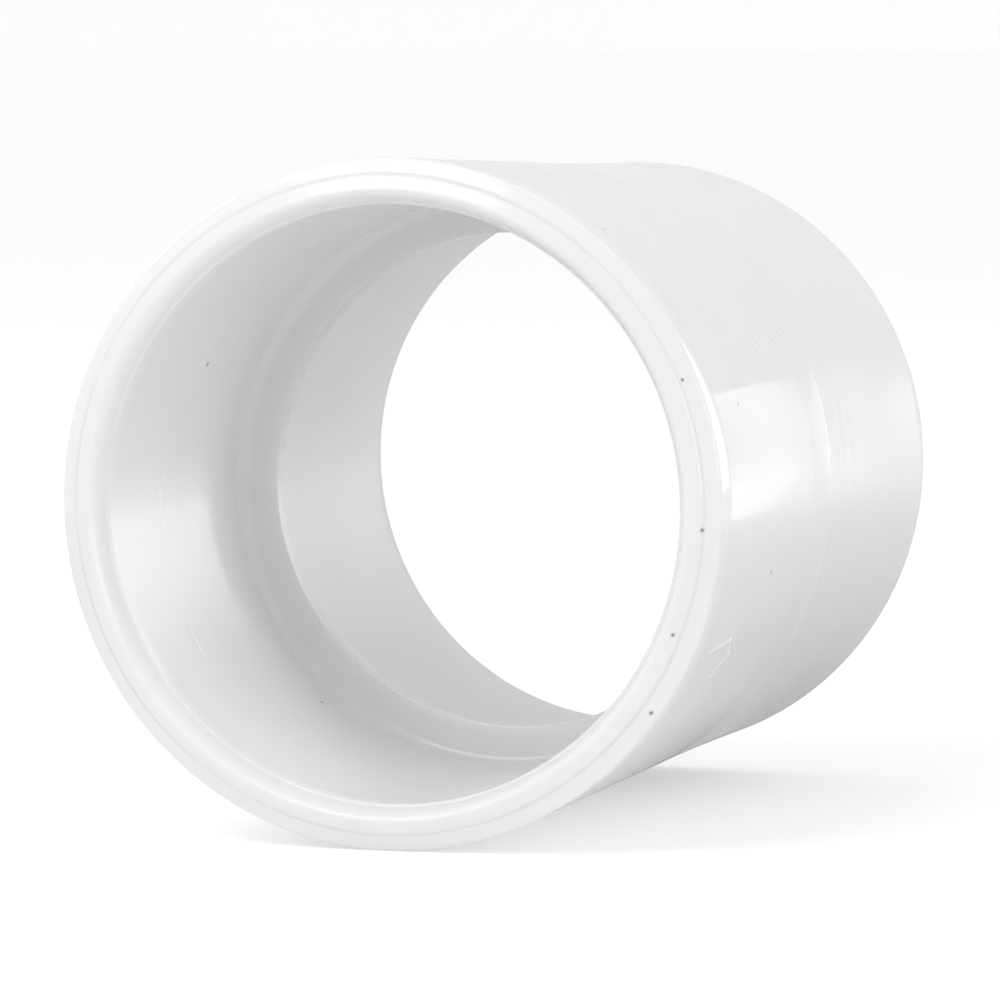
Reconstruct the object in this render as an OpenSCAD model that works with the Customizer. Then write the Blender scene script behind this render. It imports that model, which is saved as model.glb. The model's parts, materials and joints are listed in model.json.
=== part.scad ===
// Reducing coupling for plastic pressure pipe.
// A single white PVC moulding that joins two plain pipe ends of different size. The large pipe slides into
// the front socket and the small pipe into the rear socket, each as far as the stop ring between them, and
// solvent cement bonds both.
// The axis lies along Y. The origin is on the axis, in the plane of the stop ring's face that the large
// pipe meets. The front of the part is its large end, at negative Y.

/* [Large socket] */
// Radius of the large socket's wall, for a pipe of 50 mm outside diameter
large_socket_r = 25.1; // [24.6:0.05:25.4]
// Depth of the large socket, from the crest of its mouth to the stop ring
large_socket_depth = 34.85; // [28:0.05:45]
// Outside radius of the large end
large_outer_r = 29.0; // [28.8:0.05:32]

/* [Small socket] */
// Radius of the small socket's wall, for a pipe of 48.3 mm outside diameter
small_socket_r = 24.3; // [23.6:0.05:24.6]
// Depth of the small socket, from the stop ring to the crest of its mouth
small_socket_depth = 37.5; // [28:0.05:45]
// Outside radius of the small end
small_outer_r = 27.2; // [27.1:0.05:28]

/* [Stop ring] */
// Inside radius of the stop ring, which is the waterway
stop_r = 21.8; // [19:0.1:22]
// Thickness of the stop ring along the axis
stop_w = 3.0; // [2:0.1:8]
// Length of the hollow corner between a socket's wall and the stop ring
corner_w = 1.1; // [0.5:0.1:4]
// Radial width of that corner
corner_h = 1.1; // [0.5:0.05:1.4]
// Rounding of the stop ring's inner edges
stop_edge_r = 0.3; // [0.1:0.05:0.8]

/* [Mouths] */
// Length of the rounded lead-in of the large mouth
large_lead_w = 2.1; // [1:0.1:4]
// Radial width of the large mouth's lead-in
large_lead_h = 1.25; // [0.8:0.05:1.6]
// Length of the chamfered lead-in of the small mouth
small_lead_w = 4.1; // [1:0.1:5]
// Radial width of the small mouth's lead-in
small_lead_h = 1.6; // [0.8:0.05:1.8]
// How far the large end's face falls back from the mouth's crest to the outer edge
large_face_fall = 1.15; // [0.4:0.05:1.6]
// How far the small end's face falls back from the mouth's crest to the outer edge
small_face_fall = 0.6; // [0.4:0.05:1.6]
// Rounding of each end's outer edge
outer_edge_r = 0.4; // [0.1:0.05:0.6]

/* [Outside] */
// Length over which the outside narrows from the large end
taper_len = 60; // [40:1:64]
// Length of the soft bend between that taper and the plain small end
bend_len = 40; // [4:1:44]
// Place of the fine ridge round the outside, behind the stop ring's front face
ridge_at = 5; // [3:0.5:10]
// Width of the ridge along the axis
ridge_w = 1.2; // [0.6:0.1:3]
// Height of the ridge
ridge_h = 0.02; // [0.01:0.01:0.1]

/* [Mould line] */
// Radius of the circular mould line on the large end's face
mould_line_r = 27.6; // [27.2:0.05:28]
// Width of the mould line
mould_line_w = 0.16; // [0.1:0.02:0.3]
// Depth of the mould line
mould_line_depth = 0.1; // [0.05:0.01:0.2]

/* [Hidden] */
arc_steps = 8;

// Places along the axis of each mouth's crest and of each end's outer edge
large_crest = -large_socket_depth;
small_crest = stop_w + small_socket_depth;
large_edge = large_crest + large_face_fall;
small_edge = small_crest - small_face_fall;
large_crest_r = large_socket_r + large_lead_h;
small_crest_r = small_socket_r + small_lead_h;

// A quarter of an ellipse about [x, y] with half widths rx and ry, turning by turn degrees from angle start.
function quarter(x, y, rx, ry, start, turn = 90) =
    [for (i = [0 : arc_steps]) let (a = start + turn * i / arc_steps) [x + rx * cos(a), y + ry * sin(a)]];

// 0 below -half, t above half, and a parabola between them.
function soft_ramp(t, half) = t < -half ? 0 : t > half ? t : pow(t + half, 2) / (4 * half);

// Height of the ridge at y, a straight rise and fall.
function ridge(y) = ridge_h * max(0, 1 - abs(y - ridge_at) / (ridge_w / 2));

// Radius of the outside at y.
function outside_r(y) =
    let (slope = (large_outer_r - small_outer_r) / taper_len)
    small_outer_r + slope * soft_ramp(large_edge + taper_len - y, bend_len / 2) + ridge(y);

// Points on the outside from one place to another, in equal steps and without the first one.
function outside(from, to, steps) =
    [for (i = [1 : steps]) let (y = from + (to - from) * i / steps) [outside_r(y), y]];

// The V of the mould line, cut into the large end's face, which slopes from its crest to its edge.
function mould_line() =
    let (slope = large_face_fall / (large_outer_r - outer_edge_r - large_crest_r),
         face = function(r) large_crest + slope * (r - large_crest_r),
         half = mould_line_w / 2)
    [[mould_line_r + half, face(mould_line_r + half)],
     [mould_line_r, face(mould_line_r) + mould_line_depth],
     [mould_line_r - half, face(mould_line_r - half)]];

// Half of the lengthways section: x is the radius and y the place along the axis.
module section() {
    outside_from = small_edge - outer_edge_r;
    outside_to = large_edge + outer_edge_r;
    small_end_r = outside_r(outside_from) - outer_edge_r;
    large_end_r = outside_r(outside_to) - outer_edge_r;
    polygon(concat(
        // lead-in of the large mouth, from the crest to the socket's wall
        quarter(large_crest_r, large_crest + large_lead_w, large_lead_h, large_lead_w, 270, -90),
        // hollow corner, the stop ring and its two edges, and the other hollow corner
        quarter(large_socket_r - corner_h, -corner_w, corner_h, corner_w, 0),
        quarter(stop_r + stop_edge_r, stop_edge_r, stop_edge_r, stop_edge_r, 270, -90),
        quarter(stop_r + stop_edge_r, stop_w - stop_edge_r, stop_edge_r, stop_edge_r, 180, -90),
        quarter(small_socket_r - corner_h, stop_w + corner_w, corner_h, corner_w, 270),
        // chamfer of the small mouth
        [[small_socket_r, small_crest - small_lead_w], [small_crest_r, small_crest]],
        // outer edge of the small end, the outside, and the outer edge of the large end
        quarter(small_end_r, small_edge - outer_edge_r, outer_edge_r, outer_edge_r, 90, -90),
        outside(outside_from, ridge_at + ridge_w / 2, 16),
        outside(ridge_at + ridge_w / 2, ridge_at - ridge_w / 2, 2),
        quarter(large_end_r, large_edge + outer_edge_r, outer_edge_r, outer_edge_r, 0, -90),
        // face of the large end
        mould_line()
    ));
}

module coupling_body() {
    color([0.93, 0.93, 0.93]) rotate([-90, 0, 0]) rotate_extrude($fn = 180) section();
}

coupling_body();
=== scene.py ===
"""Looks for the reducing coupling: one glossy white PVC moulding, lathed finely over its CAD body."""
import json
import math

import bmesh
import bpy
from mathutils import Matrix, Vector


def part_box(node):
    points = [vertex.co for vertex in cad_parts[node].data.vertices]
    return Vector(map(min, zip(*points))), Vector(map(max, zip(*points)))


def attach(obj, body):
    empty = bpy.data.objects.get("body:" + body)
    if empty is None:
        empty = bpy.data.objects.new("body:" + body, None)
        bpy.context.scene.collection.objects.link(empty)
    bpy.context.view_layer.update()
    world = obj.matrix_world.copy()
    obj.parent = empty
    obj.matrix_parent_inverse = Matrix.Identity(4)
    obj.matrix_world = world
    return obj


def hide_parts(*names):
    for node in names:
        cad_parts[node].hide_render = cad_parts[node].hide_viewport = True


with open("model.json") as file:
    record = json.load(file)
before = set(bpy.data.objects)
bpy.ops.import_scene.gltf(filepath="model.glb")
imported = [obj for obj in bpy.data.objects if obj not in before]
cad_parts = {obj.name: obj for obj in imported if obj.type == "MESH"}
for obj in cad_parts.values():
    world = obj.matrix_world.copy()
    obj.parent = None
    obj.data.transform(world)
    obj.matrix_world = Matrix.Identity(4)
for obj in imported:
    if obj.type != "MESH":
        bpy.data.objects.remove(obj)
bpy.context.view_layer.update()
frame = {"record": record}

MM = 0.001

# ---------------------------------------------------------------- sizes, from the frame

mounts = {m["name"]: m for m in frame["record"]["mounts"]}
cad_low, cad_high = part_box("coupling_body")


def wall_span(name):
    """Where a socket's straight wall starts and ends along Y."""
    mount = mounts[name]
    half = mount["dims"]["length_mm"] * MM / 2
    return mount["pos_m"][1] - half, mount["pos_m"][1] + half


LARGE_R = mounts["large_socket"]["dims"]["r_mm"] * MM
SMALL_R = mounts["small_socket"]["dims"]["r_mm"] * MM
LARGE_WALL = wall_span("large_socket")
SMALL_WALL = wall_span("small_socket")
LARGE_STOP = mounts["large_pipe_stop"]["pos_m"][1]
SMALL_STOP = mounts["small_pipe_stop"]["pos_m"][1]
LARGE_CREST = cad_low.y
SMALL_CREST = cad_high.y

# Sizes that the frame doesn't hold, as in the CAD model
OUTER_R = 29.0 * MM
SMALL_OUTER_R = 27.2 * MM
STOP_R = 21.8 * MM
CORNER_H = 1.1 * MM
STOP_EDGE_R = 0.3 * MM
LARGE_LEAD_H = 1.25 * MM
SMALL_LEAD_H = 1.6 * MM
LARGE_FACE_FALL = 1.15 * MM
SMALL_FACE_FALL = 0.6 * MM
EDGE_R = 0.4 * MM
TAPER_LEN = 60 * MM
BEND_LEN = 40 * MM
RIDGE_AT = 5 * MM
RIDGE_W = 1.2 * MM
RIDGE_H = 0.02 * MM
MOULD_LINE_R = 27.6 * MM
MOULD_LINE_W = 0.16 * MM
MOULD_LINE_DEPTH = 0.1 * MM

LARGE_EDGE = LARGE_CREST + LARGE_FACE_FALL
SMALL_EDGE = SMALL_CREST - SMALL_FACE_FALL
LARGE_CREST_R = LARGE_R + LARGE_LEAD_H
SMALL_CREST_R = SMALL_R + SMALL_LEAD_H
FACE_SLOPE = LARGE_FACE_FALL / (OUTER_R - EDGE_R - LARGE_CREST_R)

# The large lead-in stops this many degrees short of the wall, where a fine bead starts the wall
LEAD_SHORT = 40
BEAD_R = 0.2 * MM

# How many times the section is repeated round the axis
TURN_STEPS = 512

# ---------------------------------------------------------------- the section


def arc(r, y, half_r, half_y, start, turn, steps=12):
    """A stretch of an ellipse about (r, y), from start and turning by turn, in degrees."""
    points = []
    for i in range(steps + 1):
        a = math.radians(start + turn * i / steps)
        points.append((r + half_r * math.cos(a), y + half_y * math.sin(a)))
    return points


def line(start, end, steps):
    """Points between two points, without either of them."""
    return [
        (start[0] + (end[0] - start[0]) * i / steps, start[1] + (end[1] - start[1]) * i / steps)
        for i in range(1, steps)
    ]


def soft_ramp(t, half):
    """0 below -half, t above half, and a parabola between them."""
    if t < -half:
        return 0.0
    if t > half:
        return t
    return (t + half) ** 2 / (4 * half)


def ridge(y):
    """Height of the fine ridge round the outside at y."""
    t = min(1.0, abs(y - RIDGE_AT) / (RIDGE_W / 2))
    return RIDGE_H * (1 + math.cos(math.pi * t)) / 2


def outside_r(y):
    """Radius of the outside at y."""
    slope = (OUTER_R - SMALL_OUTER_R) / TAPER_LEN
    return SMALL_OUTER_R + slope * soft_ramp(LARGE_EDGE + TAPER_LEN - y, BEND_LEN / 2) + ridge(y)


def face_y(r):
    """Place along Y of the large end's face at a radius."""
    return LARGE_CREST + FACE_SLOPE * (r - LARGE_CREST_R)


def large_lead_in():
    """The large mouth from its crest to the bead at the start of the socket's wall."""
    turn = 90 - LEAD_SHORT
    half_r = (LARGE_LEAD_H - BEAD_R) / math.sin(math.radians(turn))
    half_y = (LARGE_WALL[0] - BEAD_R - LARGE_CREST) / (1 - math.cos(math.radians(turn)))
    mouth = arc(LARGE_CREST_R, LARGE_CREST + half_y, half_r, half_y, 270, -turn, steps=16)
    bead = arc(LARGE_R + BEAD_R, LARGE_WALL[0], BEAD_R, BEAD_R, 270, -90, steps=6)
    return mouth[:-1] + bead


def stop_edge(y, start):
    """The rounding of one of the stop ring's inner edges."""
    return arc(STOP_R + STOP_EDGE_R, y, STOP_EDGE_R, STOP_EDGE_R, start, -90, steps=6)


def outer_edge(y, start):
    """The rounding between an end's face and the outside."""
    return arc(outside_r(y) - EDGE_R, y, EDGE_R, EDGE_R, start, -90, steps=8)


def mould_line():
    """The V of the mould line in the large end's face."""
    half = MOULD_LINE_W / 2
    outer, inner = MOULD_LINE_R + half, MOULD_LINE_R - half
    return [
        (outer, face_y(outer)),
        (MOULD_LINE_R, face_y(MOULD_LINE_R) + MOULD_LINE_DEPTH),
        (inner, face_y(inner)),
    ]


def outside(start, end, steps):
    """Points on the outside from one place to another, without the first one."""
    places = [start + (end - start) * i / steps for i in range(1, steps + 1)]
    return [(outside_r(y), y) for y in places]


def section():
    """The closed section as (radius, y), once round."""
    outside_from = SMALL_EDGE - EDGE_R
    outside_to = LARGE_EDGE + EDGE_R
    corner_w = LARGE_STOP - LARGE_WALL[1]
    lead_in = large_lead_in()
    corner_1 = arc(LARGE_R - CORNER_H, LARGE_WALL[1], CORNER_H, corner_w, 0, 90)
    edge_1 = stop_edge(LARGE_STOP + STOP_EDGE_R, 270)
    edge_2 = stop_edge(SMALL_STOP - STOP_EDGE_R, 180)
    corner_2 = arc(SMALL_R - CORNER_H, SMALL_WALL[0], CORNER_H, corner_w, 270, 90)
    chamfer = [(SMALL_R, SMALL_WALL[1]), (SMALL_CREST_R, SMALL_CREST)]
    small_edge = outer_edge(outside_from, 90)
    large_edge = outer_edge(outside_to, 0)
    groove = mould_line()
    points = list(lead_in)
    points += line(lead_in[-1], corner_1[0], steps=16)
    points += corner_1
    points += line(corner_1[-1], edge_1[0], steps=4)
    points += edge_1
    points += line(edge_1[-1], edge_2[0], steps=4)
    points += edge_2
    points += line(edge_2[-1], corner_2[0], steps=3)
    points += corner_2
    points += line(corner_2[-1], chamfer[0], steps=14)
    points += [chamfer[0]] + line(chamfer[0], chamfer[1], steps=4) + [chamfer[1]]
    points += line(chamfer[1], small_edge[0], steps=4)
    points += small_edge
    points += outside(outside_from, RIDGE_AT + RIDGE_W / 2, steps=28)
    points += outside(RIDGE_AT + RIDGE_W / 2, RIDGE_AT - RIDGE_W / 2, steps=10)
    points += line(points[-1], large_edge[0], steps=12)
    points += large_edge
    points += line(large_edge[-1], groove[0], steps=4)
    points += groove
    points += line(groove[-1], points[0], steps=6)
    return points


def lathe(name, outline):
    """A closed mesh: the outline turned about Y."""
    mesh = bpy.data.meshes.new(name)
    bm = bmesh.new()
    rings = []
    for k in range(TURN_STEPS):
        a = 2 * math.pi * k / TURN_STEPS
        rings.append([bm.verts.new((r * math.cos(a), y, r * math.sin(a))) for r, y in outline])
    count = len(outline)
    for k in range(TURN_STEPS):
        here, there = rings[k], rings[(k + 1) % TURN_STEPS]
        for i in range(count):
            j = (i + 1) % count
            bm.faces.new((here[i], here[j], there[j], there[i]))
    bmesh.ops.recalc_face_normals(bm, faces=bm.faces)
    for face in bm.faces:
        face.smooth = True
    bm.to_mesh(mesh)
    bm.free()
    piece = bpy.data.objects.new(name, mesh)
    bpy.context.scene.collection.objects.link(piece)
    return piece


# ---------------------------------------------------------------- shader nodes


class Nodes:
    """Short ways to add shader nodes to one node tree."""

    def __init__(self, tree):
        self.tree = tree

    def add(self, kind, **settings):
        made = self.tree.nodes.new(kind)
        for name, value in settings.items():
            setattr(made, name, value)
        return made

    def feed(self, socket, value):
        """Link a socket to another one, or set its value."""
        if isinstance(value, bpy.types.NodeSocket):
            self.tree.links.new(value, socket)
        else:
            socket.default_value = value

    def math(self, operation, a, b=0.0, clamp=False):
        made = self.add("ShaderNodeMath", operation=operation, use_clamp=clamp)
        self.feed(made.inputs[0], a)
        self.feed(made.inputs[1], b)
        return made.outputs[0]

    def times(self, a, b, clamp=False):
        return self.math("MULTIPLY", a, b, clamp)

    def rest(self, value):
        """What is left of 1 after value."""
        return self.math("SUBTRACT", 1.0, value)

    def total(self, values):
        """The sum of several values."""
        result = values[0]
        for value in values[1:]:
            result = self.math("ADD", result, value)
        return result

    def vector(self, operation, a, b, output=0):
        made = self.add("ShaderNodeVectorMath", operation=operation)
        self.feed(made.inputs[0], a)
        self.feed(made.inputs["Scale" if operation == "SCALE" else 1], b)
        return made.outputs[output]

    def split(self, vector):
        """A vector's X, Y and Z."""
        made = self.add("ShaderNodeSeparateXYZ")
        self.feed(made.inputs[0], vector)
        return made.outputs

    def grey(self, value):
        """The grey of a value."""
        made = self.add("ShaderNodeCombineColor")
        for channel in made.inputs:
            self.feed(channel, value)
        return made.outputs[0]

    def step(self, value, low, high, to_low=0.0, to_high=1.0):
        """A smooth step from to_low, at low, to to_high, at high."""
        made = self.add("ShaderNodeMapRange", interpolation_type="SMOOTHSTEP")
        for socket, number in zip(made.inputs, (value, low, high, to_low, to_high)):
            self.feed(socket, number)
        return made.outputs[0]

    def noise(self, point, cells, detail=3.0, roughness=0.6):
        """Noise from 0 to 1, with this many cells per metre along X, Y and Z."""
        made = self.add("ShaderNodeTexNoise")
        self.feed(made.inputs["Vector"], self.vector("MULTIPLY", point, cells))
        self.feed(made.inputs["Scale"], 1.0)
        self.feed(made.inputs["Detail"], detail)
        self.feed(made.inputs["Roughness"], roughness)
        return made.outputs["Fac"]


# ---------------------------------------------------------------- small marks on the surface


def on_circle(r, y, degrees):
    """The point at a radius and a place along Y, turned by degrees from +X towards +Z."""
    a = math.radians(degrees)
    return Vector((r * math.cos(a), y, r * math.sin(a)))


def on_outside(degrees, y_mm):
    return on_circle(outside_r(y_mm * MM), y_mm * MM, degrees)


def on_wall(degrees, y_mm):
    return on_circle(LARGE_R, y_mm * MM, degrees)


def on_face(degrees, r_mm):
    return on_circle(r_mm * MM, face_y(r_mm * MM), degrees)


def specks():
    """Dark moulding specks: place and radius."""
    return [
        (on_wall(155, -15), 0.4 * MM),
        (on_wall(-129, -5), 0.3 * MM),
        (on_outside(17, -23.5), 0.3 * MM),
        (on_outside(-13, -14), 0.3 * MM),
        (on_outside(53, -29), 0.25 * MM),
        (on_face(-3, 27.5), 0.3 * MM),
        (on_face(-22, 27), 0.3 * MM),
        (on_face(23, 27.9), 0.25 * MM),
        (on_face(-36, 28.4), 0.3 * MM),
    ]


def scar():
    """A pale raised scar on the outside, as strokes: start, end and half width."""
    bends = [on_outside(-25, -27), on_outside(-24, -21), on_outside(-27, -19), on_outside(-31, -22)]
    return [(a, b, 0.45 * MM) for a, b in zip(bends, bends[1:])]


def scratches():
    """Fine pale scratches, as strokes: single ones, then a row of eight beside each other."""
    marks = [
        (on_wall(180, -20.6), on_wall(188, -20), 0.1 * MM),
        (on_wall(177, -19.5), on_wall(185, -19), 0.08 * MM),
        (on_wall(-152, -21), on_wall(-146, -21.5), 0.12 * MM),
        (on_wall(-114, -19), on_wall(-112, -20), 0.12 * MM),
        (on_outside(33, -15.5), on_outside(33.5, -15), 0.3 * MM),
    ]
    for i in range(8):
        degrees, y_mm = 25.5 + 0.4 * i, -10 + 1.7 * i
        marks.append((on_outside(degrees, y_mm), on_outside(degrees + 2.5, y_mm - 1.2), 0.09 * MM))
    return marks


def spot(nodes, point, centre, radius):
    """1 at centre and 0 beyond radius."""
    away = nodes.vector("DISTANCE", point, centre, "Value")
    return nodes.step(away, radius, 0.0)


def stroke(nodes, point, start, end, half_width):
    """1 along a line from start to end, and 0 beyond half_width from it."""
    along = end - start
    offset = nodes.vector("SUBTRACT", point, start)
    part = nodes.vector("DOT_PRODUCT", offset, along, "Value")
    part = nodes.times(part, 1 / along.length_squared, clamp=True)
    nearest = nodes.vector("SCALE", along, part)
    away = nodes.vector("DISTANCE", offset, nearest, "Value")
    return nodes.step(away, half_width, 0.0)


# ---------------------------------------------------------------- white PVC

# The inside's finish turns into the outside's between these radii, which lie on the ends' faces
INSIDE_TO_R = 26.6 * MM
OUTSIDE_FROM_R = 26.9 * MM
# The large end's face turns into the outside over this length behind its edge
FACE_FADE = 0.3 * MM

# Most of a noise's values lie in this range
NOISE_RANGE = (0.3, 0.7)

# Turning marks: strong behind the ridge, then fading, and faint ones in front of it
TURNING_CELLS = (60, 700, 60)
STRONG_TURNING_TO = 16 * MM
TURNING_TO = 30 * MM
FAINT_TURNING = 0.3
FAINT_TURNING_GROWS = (-14 * MM, -7 * MM)
FAINT_TURNING_ENDS = (0.0, -2 * MM)

# Shades: the clouds' range, and how much each mark adds or takes away
CLOUD_CELLS = (55, 90, 55)
CLOUD_RANGE = (0.25, 0.75)
CLOUD_SHADES = (0.87, 0.89)
PALE_LIFT = 0.05
DIRT_DROP = 0.10
SPECK_DROP = 0.7
# Dirt is full up to the first of these distances from the mould line, and ends at the second
DIRT_FULL = 0.05 * MM
DIRT_ENDS = 0.2 * MM

# Roughness: the grain's range on the outside, and how much rougher the other places are
GRAIN_CELLS = (700, 700, 700)
GRAIN_ROUGH = (0.05, 0.08)
INSIDE_ROUGHER = 0.12
REAR_ROUGHER = 0.15
TURNING_ROUGHER = 0.06
FACE_ROUGHER = 0.05
PALE_ROUGHER = 0.3

# Heights of the relief
TURNING_HEIGHT = 0.03 * MM
SKIN_HEIGHT = 0.001 * MM
SCAR_HEIGHT = 0.08 * MM

PVC_IOR = 1.53
PVC_SUBSURFACE = 0.8
PVC_SUBSURFACE_DEPTH = 4 * MM


class Places:
    """Where a point is on the part. From outside on, each value is 1 in its place and 0 elsewhere."""

    def __init__(self, nodes):
        self.point = nodes.add("ShaderNodeTexCoord").outputs["Object"]
        x, y, z = nodes.split(self.point)
        self.y = y
        self.radius = nodes.math("SQRT", nodes.total([nodes.times(x, x), nodes.times(z, z)]))
        self.outside = nodes.step(self.radius, INSIDE_TO_R, OUTSIDE_FROM_R)
        self.inside = nodes.rest(self.outside)
        self.face = nodes.step(y, LARGE_EDGE + FACE_FADE, LARGE_EDGE)
        self.skin = nodes.times(self.outside, nodes.rest(self.face))
        self.rear = nodes.times(nodes.step(y, LARGE_STOP, SMALL_STOP), self.inside)
        beside_wall = nodes.step(self.radius, LARGE_R + 2.5 * BEAD_R, LARGE_R + 1.5 * BEAD_R)
        self.bead = nodes.times(nodes.step(y, LARGE_WALL[0] + 2 * BEAD_R, LARGE_WALL[0]), beside_wall)


def turning_strength(nodes, where):
    """How strong the turning marks round the outside are."""
    starts = nodes.step(where.y, RIDGE_AT, RIDGE_AT + RIDGE_W)
    strong = nodes.times(starts, nodes.step(where.y, TURNING_TO, STRONG_TURNING_TO))
    ends = nodes.step(where.y, *FAINT_TURNING_ENDS)
    faint = nodes.times(nodes.step(where.y, *FAINT_TURNING_GROWS), ends)
    return nodes.times(nodes.total([strong, nodes.times(faint, FAINT_TURNING)]), where.skin)


def mould_line_dirt(nodes, where, clouds):
    """Dirt in the mould line, broken up by the clouds."""
    away = nodes.math("ABSOLUTE", nodes.math("SUBTRACT", where.radius, MOULD_LINE_R))
    dirt = nodes.times(nodes.step(away, DIRT_ENDS, DIRT_FULL), where.face)
    return nodes.times(dirt, nodes.step(clouds, *NOISE_RANGE))


def pvc_shade(nodes, clouds, pale, dirt, dark):
    """How white the PVC is: lighter at pale marks, darker in the dirt and at specks."""
    shade = nodes.step(clouds, *CLOUD_RANGE, *CLOUD_SHADES)
    shade = nodes.math("ADD", shade, nodes.times(pale, PALE_LIFT))
    shade = nodes.math("SUBTRACT", shade, nodes.times(dirt, DIRT_DROP))
    return nodes.times(shade, nodes.rest(nodes.times(dark, SPECK_DROP)), clamp=True)


def pvc_roughness(nodes, where, turning, pale):
    """Glossy outside, less so inside except on the bead, and rougher at the marks."""
    grain = nodes.noise(where.point, GRAIN_CELLS)
    return nodes.total([
        nodes.step(grain, *NOISE_RANGE, *GRAIN_ROUGH),
        nodes.times(nodes.math("SUBTRACT", where.inside, where.bead), INSIDE_ROUGHER),
        nodes.times(where.rear, REAR_ROUGHER),
        nodes.times(turning, TURNING_ROUGHER),
        nodes.times(where.face, FACE_ROUGHER),
        nodes.times(pale, PALE_ROUGHER),
    ])


def pvc_normal(nodes, where, turning, raised):
    """The normal of the relief, whose height is in metres."""
    waves = nodes.noise(where.point, TURNING_CELLS)
    bump = nodes.add("ShaderNodeBump")
    nodes.feed(bump.inputs["Strength"], 1.0)
    nodes.feed(bump.inputs["Distance"], 1.0)
    nodes.feed(bump.inputs["Height"], nodes.total([
        nodes.times(nodes.times(waves, turning), TURNING_HEIGHT),
        nodes.times(nodes.times(waves, where.skin), SKIN_HEIGHT),
        nodes.times(raised, SCAR_HEIGHT),
    ]))
    return bump.outputs[0]


def pvc():
    """Glossy white PVC with flow clouds, turning marks, specks, scratches and a dirty mould line."""
    material = bpy.data.materials.new("white_pvc")
    material.use_nodes = True
    shader = material.node_tree.nodes["Principled BSDF"]
    nodes = Nodes(material.node_tree)
    where = Places(nodes)
    turning = turning_strength(nodes, where)
    clouds = nodes.noise(where.point, CLOUD_CELLS, roughness=0.55)
    dirt = mould_line_dirt(nodes, where, clouds)
    dark = nodes.total([spot(nodes, where.point, *speck) for speck in specks()])
    raised = nodes.total([stroke(nodes, where.point, *mark) for mark in scar()])
    pale = nodes.total([raised] + [stroke(nodes, where.point, *mark) for mark in scratches()])
    nodes.feed(shader.inputs["Base Color"], nodes.grey(pvc_shade(nodes, clouds, pale, dirt, dark)))
    nodes.feed(shader.inputs["Roughness"], pvc_roughness(nodes, where, turning, pale))
    nodes.feed(shader.inputs["Normal"], pvc_normal(nodes, where, turning, raised))
    shader.inputs["IOR"].default_value = PVC_IOR
    shader.inputs["Subsurface Weight"].default_value = PVC_SUBSURFACE
    shader.inputs["Subsurface Radius"].default_value = (1, 1, 1)
    shader.inputs["Subsurface Scale"].default_value = PVC_SUBSURFACE_DEPTH
    return material


coupling = lathe("coupling", section())
coupling.data.materials.append(pvc())
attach(coupling, "root")
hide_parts("coupling_body")

# ---------------------------------------------------------------- floor and backdrop

FLOOR_SIZE = 40.0
BACKDROP_R = 15.0
BACKDROP_H = 8.0
BACKDROP_SIDES = 128
BOUNCE_GAP = 0.1 * MM
FIBRE_CELLS = (900, 900, 900)
PAPER_ROUGH = 0.7

# A paper's glow is given at these distances from the centre
GLOW_CENTRE = (0.0, -0.05, 0.0)
GLOW_NEAR = 0.03
GLOW_MIDDLE = 0.12
GLOW_FAR = 0.50


def paper(name, shades, glows):
    """Matt paper with faint fibres, from its darkest and lightest shade and its glow near, midway and far."""
    near, middle, far = glows
    material = bpy.data.materials.new(name)
    material.use_nodes = True
    shader = material.node_tree.nodes["Principled BSDF"]
    nodes = Nodes(material.node_tree)
    point = nodes.add("ShaderNodeTexCoord").outputs["Object"]
    fibres = nodes.noise(point, FIBRE_CELLS)
    nodes.feed(shader.inputs["Base Color"], nodes.grey(nodes.step(fibres, *NOISE_RANGE, *shades)))
    away = nodes.vector("DISTANCE", point, GLOW_CENTRE, "Value")
    glow = nodes.total([
        nodes.step(away, GLOW_NEAR, GLOW_MIDDLE, near, middle),
        nodes.step(away, GLOW_MIDDLE, GLOW_FAR, 0.0, far - middle),
    ])
    nodes.feed(shader.inputs["Emission Strength"], glow)
    shader.inputs["Emission Color"].default_value = (1, 1, 1, 1)
    shader.inputs["Roughness"].default_value = PAPER_ROUGH
    return material


def finish_stage(name, material):
    """Name the stage piece that was just added, and give it its paper."""
    made = bpy.context.object
    made.name = name
    made.data.materials.append(material)
    return made


def add_floor(name, z, material):
    bpy.ops.mesh.primitive_plane_add(size=FLOOR_SIZE, location=(0, 0, z))
    return finish_stage(name, material)


def add_backdrop(material):
    """A round wall far from the part."""
    bpy.ops.mesh.primitive_cylinder_add(
        vertices=BACKDROP_SIDES, radius=BACKDROP_R, depth=BACKDROP_H,
        end_fill_type="NOTHING", location=(0, 0, 0),
    )
    return finish_stage("backdrop", material)


def only_for_camera(stage_piece):
    """Leave a piece of the stage out of the light that reaches the part."""
    stage_piece.visible_diffuse = False
    stage_piece.visible_glossy = False
    stage_piece.visible_transmission = False
    stage_piece.visible_shadow = False


def add_stage():
    """A white floor and backdrop that only the camera sees, over a greyer floor that lights the part and
    whose glow is painted light, brightest next to the part.
    """
    white_paper = paper("white_paper", shades=(0.90, 0.92), glows=(0.28, 0.28, 0.28))
    # Painted light: the grey floor glows most next to the part, where it fills in the part's shadow and
    # lights its underside. It does not glow a little further off, and glows again far away.
    grey_paper = paper("grey_paper", shades=(0.54, 0.56), glows=(0.30, 0.0, 0.45))
    only_for_camera(add_floor("floor", cad_low.z, white_paper))
    only_for_camera(add_backdrop(white_paper))
    bounce = add_floor("bounce_floor", cad_low.z - BOUNCE_GAP, grey_paper)
    bounce.visible_camera = False


# ---------------------------------------------------------------- lights and camera

# For a direction of length 1: the horizon's light is gone where Z passes HORIZON_TOP, and the shade in
# front starts where Y is the first of SHADED and is full at the second
HORIZON_TOP = 0.6
SHADED = (-0.7, -0.95)


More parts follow.
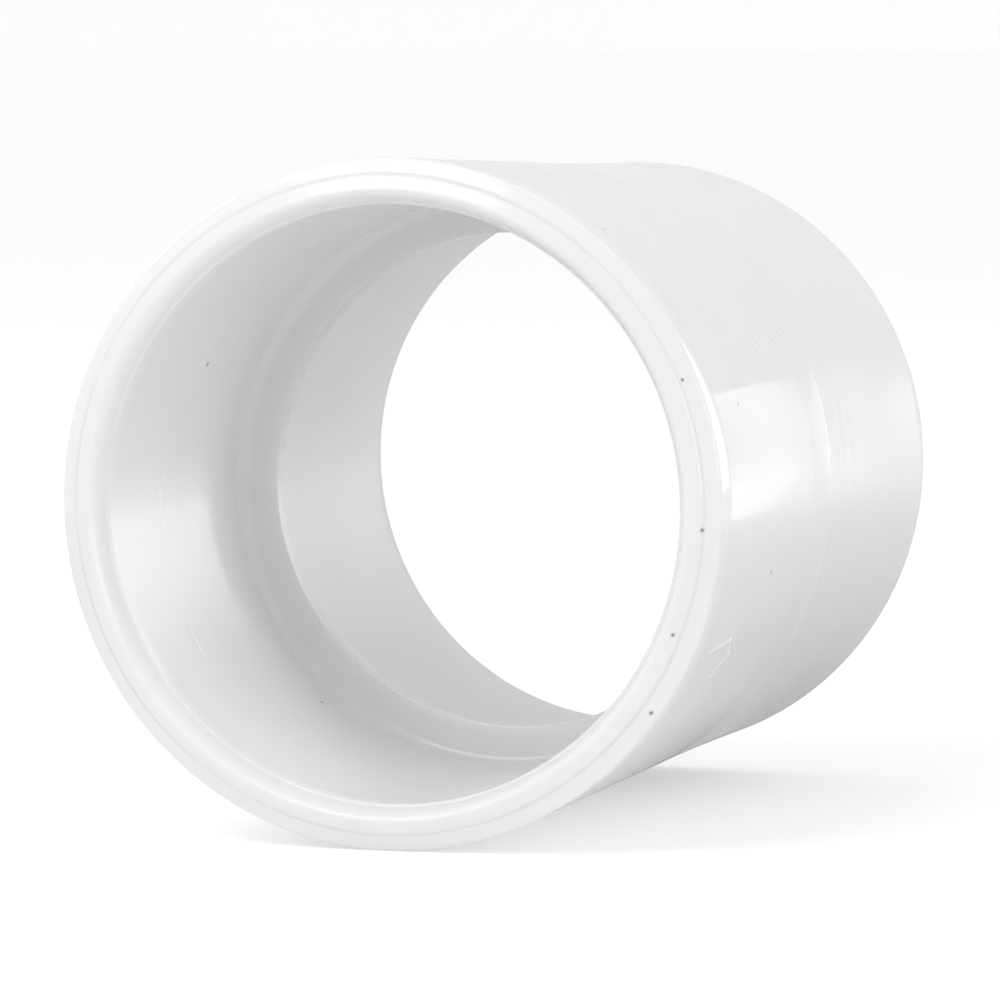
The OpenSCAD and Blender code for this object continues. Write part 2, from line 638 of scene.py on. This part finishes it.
def add_world(strength, lean, shade, horizon):
    """Light from all round, which turns into horizon low down.

    It is stronger from the left by lean, and weaker by shade in front, where the photographer stands.
    """
    world = bpy.data.worlds.new("world")
    world.use_nodes = True
    back = world.node_tree.nodes["Background"]
    nodes = Nodes(world.node_tree)
    x, y, z = nodes.split(nodes.add("ShaderNodeTexCoord").outputs["Generated"])
    around = nodes.math("SUBTRACT", strength, nodes.times(x, lean))
    around = nodes.math("SUBTRACT", around, nodes.step(y, *SHADED, 0.0, shade))
    nodes.feed(back.inputs["Strength"], nodes.step(z, 0.0, HORIZON_TOP, horizon, around))
    back.inputs["Color"].default_value = (1, 1, 1, 1)
    bpy.context.scene.world = world


def add_light(name, where, size, watts, aim=(0, 0, 0), roll=0.0):
    """A soft rectangular light at where, turned to aim and rolled by roll degrees."""
    data = bpy.data.lights.new(name, "AREA")
    data.shape = "RECTANGLE"
    data.size, data.size_y = size
    data.energy = watts
    lamp = bpy.data.objects.new(name, data)
    lamp.location = where
    lamp.rotation_euler = (Vector(aim) - Vector(where)).to_track_quat("-Z", "Y").to_euler()
    lamp.rotation_euler.rotate_axis("Z", math.radians(roll))
    bpy.context.scene.collection.objects.link(lamp)


def add_lights():
    """Three soft panels, and two windows behind the part that show in its gloss."""
    add_light("key_left", where=(-0.25, -0.60, 0.66), size=(0.5, 0.5), watts=2.3)
    add_light("key_right", where=(0.80, -0.40, 0.20), size=(0.4, 0.4), watts=1.3)
    add_light("back_right", where=(0.50, 0.86, 0.20), size=(0.5, 0.5), watts=0.8)
    add_light(
        "window", where=(0.0974, 0.30, 0.008), size=(0.0122, 0.080), watts=0.0016,
        aim=(0.028, -0.01, 0.008), roll=-8.7,
    )
    add_light("side_window", where=(0.26, 0.32, 0.04), size=(0.12, 0.14), watts=0.08)


# Angles in degrees, and the lens and sensor in millimetres
CAMERA_AZIMUTH = 17.74
CAMERA_ELEVATION = 3.80
CAMERA_DISTANCE = 0.63
CAMERA_AIM = Vector((1.3, -7.0, -1.2)) * MM
CAMERA_LENS = 261.3
CAMERA_SENSOR = 36.0
CAMERA_SEES = (0.05, 100.0)


def add_camera():
    data = bpy.data.cameras.new("camera")
    data.sensor_width = CAMERA_SENSOR
    data.lens = CAMERA_LENS
    data.clip_start, data.clip_end = CAMERA_SEES
    camera = bpy.data.objects.new("camera", data)
    a, e = math.radians(CAMERA_AZIMUTH), math.radians(CAMERA_ELEVATION)
    back = Vector((math.sin(a) * math.cos(e), -math.cos(a) * math.cos(e), math.sin(e)))
    camera.location = CAMERA_AIM + back * CAMERA_DISTANCE
    camera.rotation_euler = (-back).to_track_quat("-Z", "Y").to_euler()
    bpy.context.scene.collection.objects.link(camera)
    bpy.context.scene.camera = camera


add_stage()
add_world(strength=0.74, lean=0.32, shade=0.6, horizon=0.82)
add_lights()
add_camera()
bpy.context.scene.view_settings.view_transform = "Standard"
